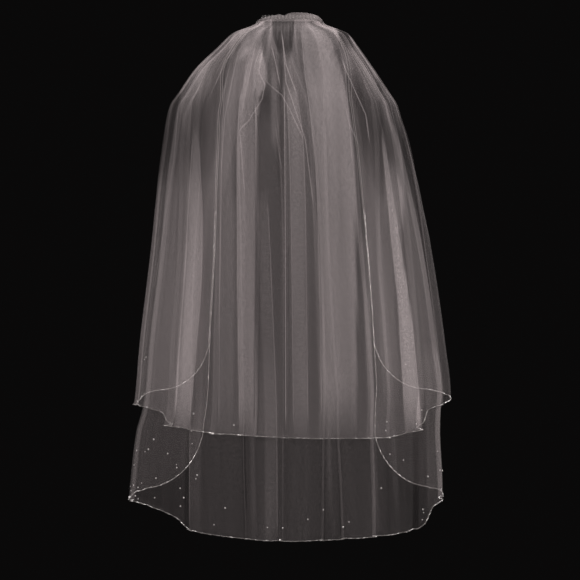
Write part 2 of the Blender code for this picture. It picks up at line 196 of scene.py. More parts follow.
# Where the net lies in more or fewer layers on the back: heights (m), distances from the middle (mm) and
# half widths (mm) at those heights, how much fuller the cloth is there, and the sides with a pressed edge.
# The mends and fills aren't folds: they add layers only to brighten the net where the lamps light it less, as
# painted light. The gaps, corners and the dark edge aren't folds either: they only even out the tone.
stripColumns = ("name", "levels", "across", "half", "fuller", "pressed")
upperStrips = (
    ("left gathers", (-0.012, -0.034, -0.062, -0.084), (-62, -76, -86, -92), (18, 26, 22, 12), 1.00, ()),
    # painted light: the left mend adds layers to brighten the net where the lamps light it less
    ("left mend", (-0.034, -0.048, -0.080), (-80, -80, -82), (9, 8, 6), 1.70, ()),
    ("light strip", (-0.078, -0.158, -0.315, -0.503, -0.711), (-93, -104, -106, -107, -107),
     (9, 10, 11, 12, 12), 0.55, (-1,)),
    ("dark slit", (-0.190, -0.273, -0.340), (-99, -96, -95), (2.0, 4.2, 4.2), -0.60, ()),
    ("bright panel", (-0.072, -0.105, -0.128, -0.159, -0.264, -0.435, -0.719),
     (-58, -58, -60, -70, -74, -74, -70), (9, 17, 19, 16, 16, 15, 14), 2.40, (-1,)),
    ("dark middle", (-0.150, -0.230, -0.270, -0.310, -0.620), (-44, -44, -37, -37, -40),
     (9, 10, 18, 21, 22), -0.34, ()),
    ("middle strip", (-0.115, -0.170, -0.235), (-25, -25, -25), (7, 7, 6), 0.85, ()),
    ("dark wedge", (0.012, -0.011, -0.037, -0.080), (-11, -12, -11, -7), (20, 20, 19, 11), -0.80, ()),
    ("dark line", (-0.090, -0.200, -0.300), (-16, -17, -16), (4, 6, 5), -0.45, ()),
    ("centre strip", (-0.151, -0.248, -0.359, -0.718), (4, 11, 14, 18), (9, 12, 12, 12), 1.10, (-1, 1)),
    ("broad panel", (-0.030, -0.110, -0.177, -0.299, -0.503, -0.700), (44, 58, 68, 78, 81, 82),
     (24, 32, 34, 33, 31, 29), 2.50, (-1,)),
    ("right gathers", (-0.012, -0.034, -0.070, -0.120), (52, 62, 78, 94), (22, 23, 20, 12), 0.90, ()),
    # painted light: the right mend adds layers to brighten the net where the lamps light it less
    ("right mend", (-0.020, -0.034, -0.064), (75, 77, 79), (6, 8, 7), 2.60, ()),
    ("right gap", (-0.020, -0.034, -0.060), (92, 96, 108), (6, 9, 8), -0.65, ()),
    ("dark right", (-0.120, -0.184, -0.280, -0.500), (106, 118, 122, 124), (10, 15, 12, 10), -0.45, ()),
    ("right inner", (-0.401, -0.469, -0.574, -0.721), (130, 133, 135, 141), 7, 0.50, ()),
    ("right middle", (-0.331, -0.469, -0.672), (160, 163, 172), (10, 14, 14), 0.70, ()),
    ("right top", (-0.275, -0.320, -0.400), (176, 184, 187), (7, 10, 7), 1.90, ()),
    ("right strip", (-0.227, -0.330, -0.434, -0.503, -0.590, -0.714), (161, 173, 185, 194, 201, 209),
     (2, 5, 8, 9.5, 12, 14), 6.50, (-1, 1)),
    ("right shoulder", (-0.140, -0.200, -0.280, -0.360), (172, 180, 180, 180), (12, 16, 18, 20), 0.95, ()),
    ("left strip", (-0.220, -0.374, -0.469, -0.560, -0.656, -0.715),
     (-163, -163, -166, -172, -179, -182), (5, 13, 15, 15, 14, 12), 3.70, (-1, 1)),
    ("left side", (-0.300, -0.500, -0.715), (-222, -234, -248), (28, 34, 38), 0.55, ()),
    ("dark edge", (-0.018, -0.040, -0.076), (-38, -43, -46), (4, 5, 4), -0.75, ()),
    # painted light: the left fill adds layers to brighten the shoulder, where the lamps light the net less
    ("left fill", (-0.105, -0.175, -0.270), (-150, -147, -150), (13, 15, 12), 0.60, ()),
    # painted light: the right fill adds layers to brighten the shoulder, where the lamps light the net less
    ("right fill", (-0.100, -0.175, -0.270), (142, 142, 142), (12, 14, 12), 0.45, ()),
    ("left corner", (-0.009, -0.020, -0.032), (-64, -80, -100), (14, 18, 18), -1.30, ()),
    ("right corner", (-0.009, -0.020, -0.032), (64, 80, 100), (14, 18, 18), -1.45, ()),
    ("left shoulder", (-0.080, -0.120, -0.160, -0.225), (-160, -172, -174, -170), (22, 22, 18, 12), 0.95, ()),
    # painted shade: fewer layers darken the net in the hollow beside the folds
    ("left hollow", (-0.100, -0.140, -0.205, -0.300, -0.500, -0.700),
     (-116, -122, -133, -140, -144, -146), (8, 10, 14, 13, 13, 13), -0.30, ()),
)
lowerStrips = (
    ("left streak", (-0.297, -0.503, -0.754, -0.889), (-146, -157, -159, -158), 10, 0.60, (-1,)),
    ("left pair", (-0.333, -0.503, -0.735, -0.893), (-75, -67, -63, -59), 4, 0.60, ()),
    ("middle streak", (-0.333, -0.503, -0.735, -0.896), (-48, -40, -32, -31), 10, 0.60, (1,)),
    ("right line", (-0.299, -0.503, -0.735, -0.897), (37, 54, 66, 71), 3, 0.60, ()),
    ("right pair", (-0.298, -0.503, -0.737, -0.891), (106, 129, 141, 146), 4, 0.60, ()),
    ("right side", (-0.297, -0.503, -0.739, -0.879), (141, 164, 175, 181), 4, 0.60, ()),
    ("right edge", (-0.600, -0.740, -0.879), (250, 262, 262), (22, 26, 26), 0.80, ()),
    ("dark top", (0.012, -0.011, -0.057, -0.123, -0.195), (-11, -12, -15, -28, -38),
     (20, 20, 19, 17, 16), -0.72, ()),
    ("right gap", (-0.020, -0.034, -0.060), (92, 96, 108), (6, 9, 8), -0.60, ()),
    ("left fan", (-0.065, -0.176, -0.332), (-77, -100, -130), (14, 16, 14), 0.45, ()),
    ("right fan", (-0.065, -0.176, -0.332), (60, 80, 96), (14, 20, 18), 0.45, ()),
    ("dark right", (-0.110, -0.184, -0.260), (108, 118, 121), (10, 16, 12), -0.65, ()),
    # painted shade: fewer layers darken the net in the hollow beside the folds
    ("left hollow", (-0.120, -0.205, -0.300, -0.500), (-122, -135, -144, -148), (10, 15, 13, 12), -0.32, ()),
)

# Creases pressed into the back: heights (m), distances from the middle (mm), width (mm) and layers of net
creaseColumns = ("name", "levels", "across", "width", "layers")
upperCreases = (
    ("panel crease", (-0.050, -0.070, -0.108, -0.132, -0.159, -0.195, -0.212, -0.333),
     (-44, -48, -54, -43, -48, -69, -86, -76), 2.3, 5.0),
    ("short crease", (-0.195, -0.265, -0.299), (-26, -17, -10), 2.0, 3.0),
    ("middle line", (-0.130, -0.200, -0.359, -0.718), (-10, -9, -8, -7), 2.2, 6.0),
    ("first diagonal", (-0.047, -0.097, -0.151), (-35, -24, -14), 2.3, 5.5),
    ("second diagonal", (-0.023, -0.095, -0.160), (-16, -7, 15), 2.2, 6.0),
    ("third diagonal", (-0.031, -0.127, -0.230, -0.354), (-14, -7, 26, 41), 2.2, 5.0),
    ("fourth diagonal", (-0.112, -0.130, -0.152, -0.178, -0.240), (-48, -38, -14, 0, 28), 2.2, 5.0),
    ("panel edge", (-0.045, -0.093, -0.158, -0.284), (83, 95, 99, 107), 2.0, 3.0),
    ("right diagonal", (-0.070, -0.106, -0.144, -0.183, -0.240), (86, 98, 114, 131, 138), 2.3, 6.0),
    ("right short", (-0.160, -0.200, -0.225, -0.252), (94, 101, 112, 124), 2.1, 4.5),
    ("right outer", (-0.180, -0.246, -0.308, -0.415), (196, 212, 226, 250), 2.0, 2.5),
    ("right outer low", (-0.300, -0.469, -0.573, -0.663), (203, 233, 245, 256), 2.0, 2.5),
    ("left line", (-0.152, -0.259, -0.393, -0.489), (-194, -202, -222, -238), 2.0, 2.5),
    ("shoulder crease", (-0.135, -0.150, -0.160), (-150, -182, -200), 2.0, 2.5),
    ("left fan line", (-0.060, -0.110, -0.190, -0.300), (-88, -98, -112, -118), 2.0, 3.5),
    ("left fan second", (-0.045, -0.085, -0.150), (-84, -112, -138), 2.0, 3.5),
    ("left fan third", (-0.040, -0.100, -0.200), (-58, -68, -86), 2.0, 3.5),
)

# How the cloth is shared out: its fullness behind the head, at the sides of the back and round in front
shareColumns = ("level", "middle", "side", "front")
upperShares = (
    (-0.010, 1.70, 0.60, 0.18),
    (-0.045, 2.00, 0.62, 0.16),
    (-0.100, 1.85, 0.74, 0.25),
    (-0.200, 1.85, 0.42, 0.28),
    (-0.350, 1.80, 1.22, 0.82),
    (-0.600, 1.70, 1.80, 1.20),
    (-0.900, 1.50, 1.60, 1.20),
)
lowerShares = (
    (-0.010, 1.50, 0.55, 0.16),
    (-0.045, 1.75, 0.55, 0.16),
    (-0.100, 1.60, 0.70, 0.25),
    (-0.200, 1.80, 0.42, 0.28),
    (-0.350, 1.80, 1.00, 0.68),
    (-0.600, 1.65, 1.25, 0.95),
    (-0.740, 1.50, 1.25, 1.10),
    (-0.900, 1.50, 1.25, 1.10),
)

# flat is the cut's width and length. The width is assumed, so that each shell keeps over 0.7 of its cut.
upperTier = {
    "name": "upper_tulle", "node": "upper_tier", "folds": upperFolds, "hem": "upper", "strips": upperStrips,
    "creases": upperCreases, "shares": upperShares,
    "flat": (1.27, 0.77), "line": -0.0076, "hook": (0.0550, 0.0048), "inset": (0.0, 0.0),
    "corner": 0.085, "flutes": (9.0, 0.0025, 0.4), "side": 1.0, "seed": 11,
}
lowerTier = {
    "name": "lower_tulle", "node": "lower_tier", "folds": lowerFolds, "hem": "lower", "strips": lowerStrips,
    "creases": (), "shares": lowerShares,
    "flat": (1.27, 0.94), "line": -0.0038, "hook": (0.0505, 0.0032), "inset": (0.0065, 0.0105),
    "corner": 0.095, "flutes": (10.0, 0.0022, 1.9), "side": -1.0, "seed": 23,
}
cloth = {
    "thick": 0.0004,
    "top": -0.0050,            # the gathered heads start here, inside the binding
    "topDrop": 0.0038,         # and lower at its two ends
    "head": -0.0108,           # and hang straight down to here
    "spread": -0.030,          # the heads have opened to the full section
    "foldSteps": 19,           # columns across a fold
    "gapStep": 0.80,           # degrees between the columns beside folds
    "rowsAbove": 38,           # rows from the comb to the shoulder
    "rowsBelow": 52,
    "gatherColumns": 11,       # columns to a gather
    "gatherProud": 0.0046,
    "seamProud": 0.0007,
    "longShare": 0.35,         # of the gathers, those that run on below the shoulders
    "longProud": 0.0034,
    "fullest": 16.0,           # layers of net in a gather at the comb
    "stripFade": 0.35,         # of a strip's length, over which it ends
    "stripEdge": 0.0018,       # a strip's sides fade over this, each way
    "foldThinner": 0.65,       # power of the layers of a fold by which its cloth is less gathered
    "thinnest": 0.35,          # layers of net
    "gains": (0.2, 9.0),       # of all strips together
    "backOnly": 0.02,          # strips and creases stay behind this y
    "sideFrom": (24, 46),      # degrees from the centre back over which the side's share sets in
    "frontFrom": (60, 110),
    "smoothOver": 21,          # columns
    "stripEnds": (0.024, 0.110),
    "stripTop": (0.025, -0.010),
    "stripFoot": (-0.4, 0.6),
    "hemRow": -12,             # the row whose run shares out the cut's width
    "rowPower": 1.25,
    "edgeColumns": 14.0,       # the gathers fade out over these at the front edges
    "gatherWidths": (0.6, 1.5),
    "gatherTall": (0.35, 1.0),
    "gatherEnds": (-0.34, -0.13),
    "longTall": (0.4, 1.0),
    # levels or distances over which each form sets in
    "dropFrom": (0.036, 0.052),
    "foldGrows": (-0.020, -0.190),
    "foldStarts": (0.020, -0.090),
    "leanGrows": (-0.050, -0.240),
    "gathersGrow": (-0.010, -0.060),
    "gathersStop": (-0.05, 0.08),
    "longGrows": (-0.08, -0.30),
    "seamFades": (-0.002, -0.008),
}


def halfSizes(level, angle):
    left, right, back, front = (byLevel(level, sections, sectionColumns, name) for name in sectionColumns[1:])
    return np.where(angle < 0, left, right), np.where(np.abs(angle) < pi / 2, back, front)


def arcRate(level, angle):
    width, depth = halfSizes(level, angle)
    return np.hypot(width * np.cos(angle), depth * np.sin(angle))


# the columns of a tier: their places down the cloth, and the fold that each crosses
def clothColumns(folds):
    lines = np.stack([column(folds, foldColumns, name) for name in placeNames], axis=1)
    half = column(folds, foldColumns, "half")
    room = np.full_like(lines, np.inf)
    room[1:] = np.minimum(room[1:], np.diff(lines, axis=0))
    room[:-1] = np.minimum(room[:-1], np.diff(lines, axis=0))
    reach = np.minimum(half[:, None] * np.array(placeSpread), room * roomShare)
    atWaist = placeNames.index("waist")
    places, crest, fold = [], [], []
    for k in range(len(folds)):
        for t in np.linspace(-1, 1, cloth["foldSteps"]) if half[k] else (0.0,):
            places.append(lines[k] + t * reach[k])
            crest.append((1 + np.cos(pi * t)) / 2 if half[k] else 0.0)
            fold.append(k)
        if k + 1 == len(folds):
            break
        low, high = places[-1], lines[k + 1] - reach[k + 1]
        plain = max(1, int(round((high[atWaist] - low[atWaist]) / cloth["gapStep"])) - 1)
        for i in range(plain):
            places.append(low + (high - low) * (i + 1) / (plain + 1))
            crest.append(0.0)
            fold.append(k)
    sizes = {name: column(folds, foldColumns, name)[fold] for name in ("proud", "lean", "start")}
    return np.array(places), np.array(crest), sizes


def hemLevels(tier, degrees):
    places = column(hemTable, hemColumns, "place")
    level = curveThrough(degrees, places, column(hemTable, hemColumns, tier["hem"]))
    angle = np.radians(degrees)
    rate = arcRate(level, angle)
    run = np.concatenate([[0.0], np.cumsum((rate[1:] + rate[:-1]) / 2 * np.diff(angle))])
    into = np.clip(1 - np.minimum(run, run[-1] - run) / tier["corner"], 0.0, 0.99)
    return level + tier["corner"] * (1 - np.sqrt(1 - into ** 2))


def headCurve(tier, along, wave):
    straight, turn = tier["hook"]
    bend = np.clip(np.abs(along) - straight, 0, None) / turn
    x = np.clip(along, -straight, straight) + np.sign(along) * (turn + wave) * np.sin(bend)
    y = tier["line"] + turn - (turn + wave) * np.cos(bend)
    return np.stack([x, y], axis=1)


def ringCurve(tier, level, angle, out):
    atComb, below = tier["inset"]
    inset = atComb + (below - atComb) * ramp(level, cloth["spread"], shoulder)
    width, depth = (size - inset for size in halfSizes(level, angle))
    normal = np.stack([depth * np.sin(angle), -width * np.cos(angle)], axis=1)
    normal /= np.linalg.norm(normal, axis=1)[:, None]
    return np.stack([width * np.sin(angle), -depth * np.cos(angle)], axis=1) + normal * out[:, None]


# small irregular gathers that run down from the comb; some of them go on as long soft folds
def gatherShape(count, rng):
    widths = rng.uniform(*cloth["gatherWidths"], count) * cloth["gatherColumns"]
    edges = np.concatenate([[0.0], np.cumsum(widths)])
    edges = edges[: np.searchsorted(edges, count) + 1]
    which = np.clip(np.searchsorted(edges, np.arange(count), side="right") - 1, 0, len(edges) - 2)
    t = (np.arange(count) - edges[which]) / (edges[which + 1] - edges[which])
    bump = np.clip((1 - np.cos(2 * pi * np.clip(t, 0, 1))) / 2, 0, 1)
    tall = rng.uniform(*cloth["gatherTall"], len(edges))[which]
    ends = rng.uniform(*cloth["gatherEnds"], len(edges))[which]
    isLong = (rng.uniform(0, 1, len(edges)) < cloth["longShare"]).astype(float)[which]
    grows = rng.uniform(*cloth["longTall"], len(edges))[which] * isLong
    return bump, tall, ends, grows


def tierPoints(tier):
    rng = np.random.default_rng(tier["seed"])
    places, crest, sizes = clothColumns(tier["folds"])
    count = len(crest)
    hem = hemLevels(tier, places[:, -1])
    above = np.linspace(0, 1, cloth["rowsAbove"]) ** cloth["rowPower"]
    above = cloth["head"] + (shoulder - cloth["head"]) * above
    below = shoulder + (hem.min() - shoulder) * np.linspace(0, 1, cloth["rowsBelow"] + 1)[1:]
    bump, tall, ends, grows = gatherShape(count, rng)
    edgeFade = np.minimum(1.0, np.minimum(np.arange(count), np.arange(count)[::-1]) / cloth["edgeColumns"])
    rows, angles = [], []
    along = places[:, 0] * mm
    waveCount, flute, phase = tier["flutes"]
    hook = tier["hook"][0]
    for row in (cloth["top"], *above, *below):
        level = row + (hem - hem.min()) * ramp(row, shoulder, hem.min())
        if row == cloth["top"]:
            level = level - cloth["topDrop"] * ramp(np.abs(along), *cloth["dropFrom"])
        angle = np.radians(curveThrough(level, (knee, waist, shoulder, neck), places[:, :0:-1].T))
        rate = arcRate(level, angle)
        starts = [sizes["start"] + shift for shift in cloth["foldStarts"]]
        stops = [ends + shift for shift in cloth["gathersStop"]]
        grown = ramp(level, *cloth["foldGrows"]) * ramp(level, *starts)
        lean = sizes["lean"] * mm * crest * grown * ramp(level, *cloth["leanGrows"])
        fine = cloth["gatherProud"] * tall * ramp(level, *cloth["gathersGrow"]) * ramp(level, *stops)
        fine = fine + cloth["longProud"] * grows * ramp(level, *cloth["longGrows"])
        out = sizes["proud"] * mm * crest * grown
        out = out + flute * np.sin(waveCount * angle + phase) * ramp(level, neck, waist)
        out = out + tier["side"] * fine * bump * edgeFade
        ring = ringCurve(tier, level, angle + lean / rate, out)
        fades = [hook + shift for shift in cloth["seamFades"]]
        seam = cloth["seamProud"] * (2 * bump - 1) * ramp(np.abs(along), *fades)
        head = headCurve(tier, along, seam)
        opened = np.sin(pi / 2 * np.clip((cloth["head"] - level) / (cloth["head"] - cloth["spread"]), 0, 1))
        rows.append(np.column_stack([head + (ring - head) * opened[:, None], level]))
        angles.append(angle + lean / rate)
    return np.array(rows), np.degrees(np.array(angles))


# how many times the tier itself lies over each of its points, in the folds that lean over
def timesFolded(angles):
    low = np.minimum(angles[:, :-1], angles[:, 1:])[:, :, None]
    high = np.maximum(angles[:, :-1], angles[:, 1:])[:, :, None]
    here = angles[:, None, :]
    return np.maximum(((low <= here) & (here <= high)).sum(axis=1) - 1, 1)


# how many layers of net lie in each place: what the flat cut is gathered into, and the strips
def clothFullness(tier, points, angles, across):
    wide = cloth["smoothOver"]
    spacing = np.linalg.norm(np.diff(points, axis=1), axis=2)
    smooth = np.array([smoothRow(row, wide) for row in spacing])
    fullness = smoothRow(np.diff(across), wide)[None, :] / np.maximum(smooth, 1e-6)
    between = (fullness[:, 1:] + fullness[:, :-1]) / 2
    fullness = np.concatenate([fullness[:, :1], between, fullness[:, -1:]], axis=1)
    x, y, z = points[..., 0], points[..., 1], points[..., 2]
    middle, side, front = (byLevel(z, tier["shares"], shareColumns, name) for name in shareColumns[1:])
    around = np.abs(angles)
    share = middle + (side - middle) * ramp(around, *cloth["sideFrom"])
    share = share + (front - side) * ramp(around, *cloth["frontFrom"])
    share = share * timesFolded(angles) ** -cloth["foldThinner"]
    gain = np.ones_like(x)
    for name, levels, places, halves, fuller, pressed in tier["strips"]:
        levels, places = np.array(levels)[::-1], np.array(places)[::-1] * mm
        halves = np.broadcast_to(halves, places.shape)[::-1] * mm
        beside = np.abs(x - curveThrough(z, levels, places)) - curveThrough(z, levels, halves)
        soft = np.clip(cloth["stripFade"] * (levels[-1] - levels[0]), *cloth["stripEnds"])
        top = [levels[-1] + shift for shift in cloth["stripTop"]]
        foot = [levels[0] + shift * soft for shift in cloth["stripFoot"]]
        fade = ramp(z, *top) * ramp(z, *foot)
        within = ramp(beside, cloth["stripEdge"], -cloth["stripEdge"])
        gain = gain + fuller * within * fade * (y < cloth["backOnly"])
    return np.clip(fullness * share * np.clip(gain, *cloth["gains"]), cloth["thinnest"], cloth["fullest"])


def newObject(name, mesh):
    piece = bpy.data.objects.new(name, mesh)
    bpy.context.scene.collection.objects.link(piece)
    return piece


def newMesh(name, points, edges=(), faces=()):
    mesh = bpy.data.meshes.new(name)
    mesh.from_pydata([tuple(p) for p in points], edges, [tuple(int(i) for i in face) for face in faces])
    return mesh


def giveValues(mesh, name, values):
    given = mesh.attributes.new(name, "FLOAT", "POINT")
    given.data.foreach_set("value", values.ravel().astype(np.float32))


def gridQuads(rows, count):
    index = np.arange(rows * count).reshape(rows, count)
    quads = np.stack([index[:-1, :-1], index[1:, :-1], index[1:, 1:], index[:-1, 1:]], axis=2)
    return index, quads.reshape(-1, 4)


def gridNormals(points):
    normal = np.cross(np.gradient(points, axis=0), np.gradient(points, axis=1))
    return normal / np.maximum(np.linalg.norm(normal, axis=2), 1e-12)[..., None]


# a closed thin shell through a grid of points, with its lengths across and down the cut as the UV map
def buildShell(name, points, across, down, fullness, thick):
    rows, count = points.shape[:2]
    half = gridNormals(points) * thick / 2
    both = np.concatenate([(points + half).reshape(-1, 3), (points - half).reshape(-1, 3)])
    index, outer = gridQuads(rows, count)
    inner = outer[:, ::-1] + rows * count
    rim = np.concatenate([index[:, 0], index[-1, 1:], index[-2::-1, -1], index[0, -2:0:-1]])
    nextOne = np.roll(rim, -1)
    edge = np.stack([nextOne, rim, rim + rows * count, nextOne + rows * count], axis=1)
    mesh = newMesh(name, both, faces=np.concatenate([outer, inner, edge]))
    layer = mesh.uv_layers.new(name="cut")
    corner = np.zeros(len(mesh.loops), dtype=np.int64)
    mesh.loops.foreach_get("vertex_index", corner)
    uv = np.stack([np.broadcast_to(across, (rows, count)), down], axis=2).reshape(-1, 2)
    layer.data.foreach_set("uv", np.concatenate([uv, uv])[corner].astype(np.float32).ravel())
    giveValues(mesh, "fullness", np.concatenate([fullness.ravel(), fullness.ravel()]))
    mesh.update()
    mesh.shade_smooth()
    return newObject(name, mesh)


def buildTier(tier):
    points, angles = tierPoints(tier)
    hemRun = pathRun(points[cloth["hemRow"]])
    across = hemRun / hemRun[-1] * tier["flat"][0]
    steps = np.linalg.norm(np.diff(points, axis=0), axis=2)
    down = np.concatenate([np.zeros((1, points.shape[1])), np.cumsum(steps, axis=0)])
    fullness = clothFullness(tier, points, angles, across)
    cutArea = float(np.sum((down[-1, 1:] + down[-1, :-1]) / 2 * np.diff(across)))
    piece = buildShell(tier["name"], points, across, down, fullness, cloth["thick"])
    print(tier["name"], points.shape, "faces", len(piece.data.polygons), "cut area", round(cutArea, 3))
    return piece, points, down, cutArea


crease = {
    "step": 0.004,
    "lift": 0.0012,             # out from the cloth
    "near": (0.004, 0.007),     # across and down, where the cloth under it is looked up
    "smooth": 9,
    "fade": 0.022,              # of its length, over which each end narrows
    "endWidth": 0.4,
    "thick": 0.0003,
    "profile": (0.15, 0.7, 1.0, 0.7, 0.15),
    "rim": (1.9, 3.0),          # width (mm) and layers of the pressed sides of a strip
}


# creases pressed into the outside of a tier, as narrow ribbons of doubled net along its surface
def buildCreases(tier, points):
    back = points.reshape(-1, 3)
    back = back[back[:, 1] < cloth["backOnly"]]
    profile = np.array(crease["profile"])
    lines = list(tier["creases"])
    for name, levels, places, halves, fuller, pressed in tier["strips"]:
        for side in pressed:
            lines.append((name, levels, np.array(places) + side * np.array(halves), *crease["rim"]))
    ribbons = []
    for name, levels, places, width, layers in lines:
        z = np.arange(levels[0], levels[-1], -crease["step"])
        knots, across = np.array(levels)[::-1], np.array(places)[::-1] * mm
        x = np.interp(z, knots, across) if width > crease["rim"][0] else curveThrough(z, knots, across)
        way = np.stack([np.gradient(x), np.gradient(z)], axis=1)
        way /= np.linalg.norm(way, axis=1)[:, None]
        ends = np.minimum(1.0, np.minimum(z[0] - z, z - z[-1]) / crease["fade"])
        grid = []
        for part in np.linspace(-0.5, 0.5, len(profile)):
            reach = width * mm * part * (crease["endWidth"] + (1 - crease["endWidth"]) * ends)
            px, pz = x - way[:, 1] * reach, z + way[:, 0] * reach
            out = []
            for a, b in zip(px, pz):
                beside, below = np.abs(back[:, 0] - a), np.abs(back[:, 2] - b)
                close = back[(beside < crease["near"][0]) & (below < crease["near"][1])]
                out.append(close[:, 1].min() if len(close) else np.nan)
            known = np.flatnonzero(~np.isnan(out))
            out = np.interp(np.arange(len(out)), known, np.array(out)[known])
            grid.append(np.stack([px, smoothRow(out, crease["smooth"]) - crease["lift"], pz], axis=1))
        full = layers * ends[:, None] * profile[None, :]
        down = np.cumsum(np.full(len(z), crease["step"]))[:, None] * np.ones(len(profile))
        across = np.linspace(0, width * mm, len(profile))
        ribbons.append(buildShell(name, np.stack(grid, axis=1), across, down, full, crease["thick"]))
    return joinPieces(tier["hem"] + "_creases", ribbons)


def joinPieces(name, pieces):
    bpy.ops.object.select_all(action="DESELECT")
    for piece in pieces:
        piece.select_set(True)
    bpy.context.view_layer.objects.active = pieces[0]
    bpy.ops.object.join()
    joined = bpy.context.object
    joined.name = joined.data.name = name
    print(name, "faces", len(joined.data.polygons))
    return joined


edge = {
    "thread": 0.00024,          # radius of the rolled edge
    "sides": 6,
    "step": 0.0025,
    "beadsBelow": -0.34,        # the front edges are plain above this level
    "beadGap": 0.0012,          # the beads lie this far out from the cloth's middle
}
beads = {
    "Pitch": 0.0058, "Bugle length": 0.0070, "Bugle radius": 0.00055, "Seed radius": 0.0007, "Tilt": 0.16,
}
beadForm = {"sides": 8, "rounds": 2, "seed": 3}
crystals = {"Radius": 0.0014, "Least": 0.65, "Most": 1.25}
crystalForm = {"lift": 0.0006, "rounds": 1, "flat": (1.0, 1.0, 0.6), "tilt": 0.25}
# how many crystals lie on a square metre, and how fast they thin out up from the hem (m)
scatterColumns = ("tier", "even", "near", "nearFade", "far", "farFade", "top")
scatter = (
    ("lower", 50.0, 360.0, 0.040, 220.0, 0.120, -0.66),
    ("upper", 0.0, 220.0, 0.022, 14.0, 0.100, -0.50),
)
# the ruched roll: its half length, its section and the fine gathers in it
roll = {
    "half": 0.0575, "front": -0.0018, "depth": 0.0078, "bottom": -0.008, "squareness": 0.6,
    "stations": 260, "topPoints": 22, "bottomPoints": 6, "ridge": 0.0005, "slant": 0.0016, "sway": 90,
    "ridges": 60, "ridgeWidths": (0.0016, 0.0046), "ridgeTall": (0.35, 1.0), "ridgeStart": 0.006,
    "ridgeMiddle": 0.6, "ridgeFade": (0.35, 0.9), "endFade": (-0.0005, 0.004), "endDepth": 0.7, "seed": 5,
}
# the top line of the roll: two soft humps with a notch between them
crownColumns = ("along", "top")
crown = (
    (-0.0575, -0.0066),
    (-0.0450, -0.0018),
    (-0.0300, 0.0015),
    (-0.0180, 0.0036),
    (-0.0107, 0.0012),
    (-0.0030, 0.0052),
    (0.0090, 0.0071),
    (0.0250, 0.0065),
    (0.0400, 0.0040),
    (0.0500, 0.0002),
    (0.0575, -0.0064),
)
# where the thread loops lie on the spine, and their sizes
comb = {
    "teeth": 16, "reach": 0.047, "loopWidth": 0.0068, "loopHeight": 0.0076, "loopPlace": (-0.0014, -0.0002),
    "loopShift": 0.0007, "thread": 0.00008, "ringPoints": 22, "threadSides": 5, "loose": (0.05, 0.12, 0.14),
    "seed": 8,
}


# a closed form through rings of points, each ring in the same order
def loft(name, rings):
    stations, sides = rings.shape[:2]
    index = np.arange(stations * sides).reshape(stations, sides)
    ahead = np.roll(index, -1, axis=1)
    quads = np.stack([index[:-1], ahead[:-1], ahead[1:], index[1:]], axis=2).reshape(-1, 4)
    mesh = newMesh(name, rings.reshape(-1, 3), faces=[*quads, index[0, ::-1], index[-1]])
    shape = bmesh.new()
    shape.from_mesh(mesh)
    bmesh.ops.recalc_face_normals(shape, faces=shape.faces[:])
    shape.to_mesh(mesh)
    shape.free()
    mesh.shade_smooth()
    return newObject(name, mesh)


# the free edge of a tier: down its left front edge, along the hem and up the right one
def freeEdge(grid):
    return np.concatenate([grid[1:, 0], grid[-1, 1:-1], grid[:0:-1, -1]])


def evenPath(path, step):
    run = pathRun(path)
    at = np.linspace(0, run[-1], int(run[-1] / step) + 1)
    return np.stack([np.interp(at, run, path[:, k]) for k in range(3)], axis=1), at


def sweepThread(name, path, radius, sides):
    path, run = evenPath(path, edge["step"])
    tangent = np.gradient(path, axis=0)
    tangent /= np.linalg.norm(tangent, axis=1)[:, None]
    side = np.array((0.3, 1.0, 0.2))
    turns = np.arange(sides)[:, None] * 2 * pi / sides
    rings = []
    for place, way in zip(path, tangent):
        side = side - way * np.dot(side, way)
        side /= np.linalg.norm(side)
        rings.append(place + radius * (np.cos(turns) * side + np.sin(turns) * np.cross(way, side)))
    thread = loft(name, np.array(rings))
    giveValues(thread.data, "along", np.repeat(run, sides))
    return thread


# a geometry tree with named sizes, run once on a helper and turned into a plain mesh
def newTree(name, sizes):
    tree = bpy.data.node_groups.new(name, "GeometryNodeTree")
    tree.interface.new_socket(name="Geometry", in_out="INPUT", socket_type="NodeSocketGeometry")
    for label in sizes:
        tree.interface.new_socket(name=label, in_out="INPUT", socket_type="NodeSocketFloat")
    tree.interface.new_socket(name="Geometry", in_out="OUTPUT", socket_type="NodeSocketGeometry")
    return tree, tree.nodes, tree.links, tree.nodes.new("NodeGroupInput")


def closeTree(tree, made, finish):
    nodes, links = tree.nodes, tree.links
    real = nodes.new("GeometryNodeRealizeInstances")
    paint = nodes.new("GeometryNodeSetMaterial")
    paint.inputs["Material"].default_value = finish
    links.new(made, real.inputs["Geometry"])
    links.new(real.outputs[0], paint.inputs["Geometry"])
    links.new(paint.outputs[0], nodes.new("NodeGroupOutput").inputs["Geometry"])


def runTree(name, helper, tree, sizes):
    maker = helper.modifiers.new("made", "NODES")
    maker.node_group = tree
    for socket in tree.interface.items_tree:
        if socket.in_out == "INPUT" and socket.name in sizes:
            maker[socket.identifier] = sizes[socket.name]
    seen = helper.evaluated_get(bpy.context.evaluated_depsgraph_get())
    mesh = bpy.data.meshes.new_from_object(seen)
    mesh.name = name
    helper.modifiers.remove(maker)
    bpy.data.objects.remove(helper)
    print(name, "faces", len(mesh.polygons))
    return newObject(name, mesh)


def randomValue(nodes, kind, least, most, seed):
    node = nodes.new("FunctionNodeRandomValue")
    node.data_type = kind
    ports = [port for port in node.inputs if port.enabled]
    ports[0].default_value, ports[1].default_value = least, most
    node.inputs["Seed"].default_value = seed
    return next(port for port in node.outputs if port.enabled)


def tiltedRotation(nodes, links, rotation, tilt, seed):
    turn = nodes.new("FunctionNodeRotateRotation")
    turn.rotation_space = "LOCAL"
    links.new(rotation, turn.inputs["Rotation"])
    links.new(randomValue(nodes, "FLOAT_VECTOR", (-tilt,) * 3, (tilt,) * 3, seed), turn.inputs["Rotate By"])
    return turn.outputs[0]


